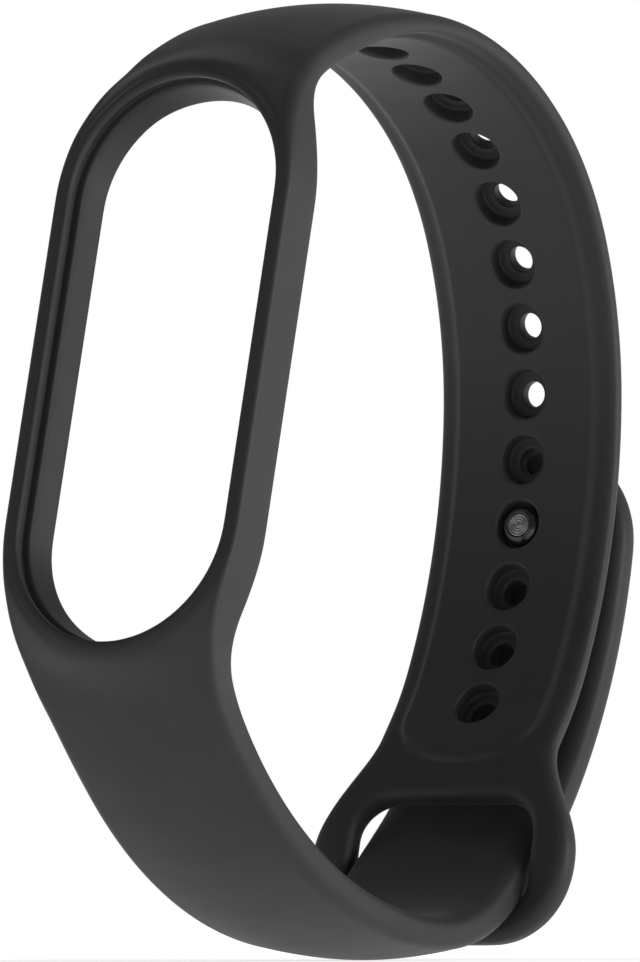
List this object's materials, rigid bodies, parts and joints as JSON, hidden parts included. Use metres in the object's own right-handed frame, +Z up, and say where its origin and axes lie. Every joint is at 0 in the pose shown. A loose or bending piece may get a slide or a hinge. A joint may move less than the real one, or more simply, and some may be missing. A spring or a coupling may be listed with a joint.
{
  "type": "fitness tracker band",
  "caption": "Soft moulded wristband closed in a ring, with an empty obround capsule opening, a row of stud holes, a keeper loop and a threaded tail held by a snap stud.",
  "frame": {"origin": "under the middle of the closed band's box, at its lowest point", "axes": "+Z up with the band standing on edge of its ring as worn, +Y along the wrist, -X towards the capsule opening"},
  "size_m": [0.0684, 0.024, 0.0748],
  "materials": {
    "silicone": "matt, fine moulded texture",
    "stud": "gloss black",
    "inlay": "satin"
  },
  "bodies": {
    "band": {"capsule_holder": "silicone", "hole_strap": "silicone", "snap_lip": "silicone", "keeper_loop": "silicone", "lower_strap": "silicone", "tail_root": "silicone"},
    "tail": {"tail": "silicone", "snap_stud": "stud", "stud_inlay": "inlay"}
  },
  "joints": [
    {"name": "tail_release", "type": "hinge", "parent": "band", "child": "tail", "pos_m": [0.02195, 0, 0.01238], "axis": [0, 1, 0], "range_deg": [0, 60], "stiffness_Nm_per_rad": 0.003, "deforming": ["tail_root", "snap_lip"]}
  ]
}
